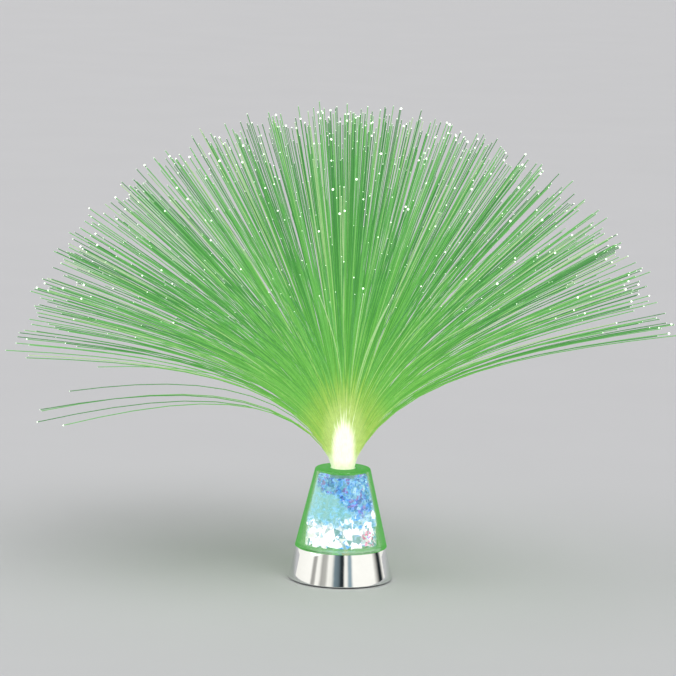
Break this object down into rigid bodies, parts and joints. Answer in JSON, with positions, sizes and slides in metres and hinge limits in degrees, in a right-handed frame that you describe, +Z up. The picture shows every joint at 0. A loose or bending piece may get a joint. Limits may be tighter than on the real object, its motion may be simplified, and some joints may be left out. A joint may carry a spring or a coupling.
{
  "type": "fibre optic lamp",
  "caption": "Table lamp with a wide spray of glowing plastic fibres in a clear cone of crystal chips, on a chromed battery base.",
  "frame": {"origin": "on the table plane, on the axis of the base and cone, which is the middle of the whole lamp's box", "axes": "+Z up along the cone's axis, +X to the right as the picture shows it, front towards -Y"},
  "size_m": [0.4699, 0.4234, 0.338],
  "materials": {
    "chromed_shell": "vacuum-chromed plastic, mirror bright",
    "black_plastic": "moulded, lightly textured",
    "foot_rubber": "matt",
    "screw_steel": "zinc plated",
    "cell_sleeve": "printed sleeve, plain",
    "contact_nickel": "nickel plated",
    "board": "paper laminate",
    "red_led": "clear lens",
    "green_led": "clear lens",
    "blue_led": "clear lens",
    "switch_frame": "tinned",
    "red_sleeve": "soft sleeve",
    "white_sleeve": "soft sleeve",
    "lit_cone": "clear, edge lit green",
    "clear_plastic": "clear",
    "chips": "crushed clear chips, lit",
    "grey_foam": "sponge foam",
    "pale_plastic": "natural",
    "fibre": "clear fibre, lit green"
  },
  "bodies": {
    "base": {"base_shell": "chromed_shell", "base_plate": "black_plastic", "rubber_feet": "foot_rubber", "plate_screws": "screw_steel", "battery_1": "cell_sleeve", "battery_2": "cell_sleeve", "battery_3": "cell_sleeve", "contact_springs": "contact_nickel", "contact_plates": "contact_nickel", "led_board": "board", "led_red": "red_led", "led_green": "green_led", "led_blue": "blue_led", "driver_blob": "black_plastic", "led_resistors": "black_plastic", "board_screws": "screw_steel", "switch_body": "switch_frame", "wire_positive": "red_sleeve", "wire_negative": "black_plastic", "wire_switched": "white_sleeve", "clear_cone": "lit_cone", "cone_floor": "clear_plastic", "light_tube": "clear_plastic", "crystal_chips": "chips"},
    "knob": {"switch_knob": "black_plastic"},
    "door": {"battery_door": "black_plastic", "door_foam": "grey_foam"},
    "collar": {"ferrule": "pale_plastic", "bundle_plug": "fibre"},
    "spray": {"fiber_spray_1": "fibre", "fiber_spray_2": "fibre", "fiber_spray_3": "fibre", "fiber_spray_4": "fibre", "fiber_spray_5": "fibre", "fiber_spray_6": "fibre"}
  },
  "joints": [
    {"name": "switch_slide", "type": "slide", "parent": "base", "child": "knob", "axis": [0, -1, 0], "range_m": [0, 0.0025]},
    {"name": "battery_door_hinge", "type": "hinge", "parent": "base", "child": "door", "pos_m": [0, -0.0263, 0.0012], "axis": [-1, 0, 0], "range_deg": [0, 90]},
    {"name": "spray_lift", "type": "slide", "parent": "base", "child": "collar", "axis": [0, 0, 1], "range_m": [0, 0.026]},
    {"name": "spray_turn", "type": "hinge", "parent": "collar", "child": "spray", "pos_m": [0, 0, 0.0803], "axis": [0, 0, 1], "continuous": true}
  ]
}
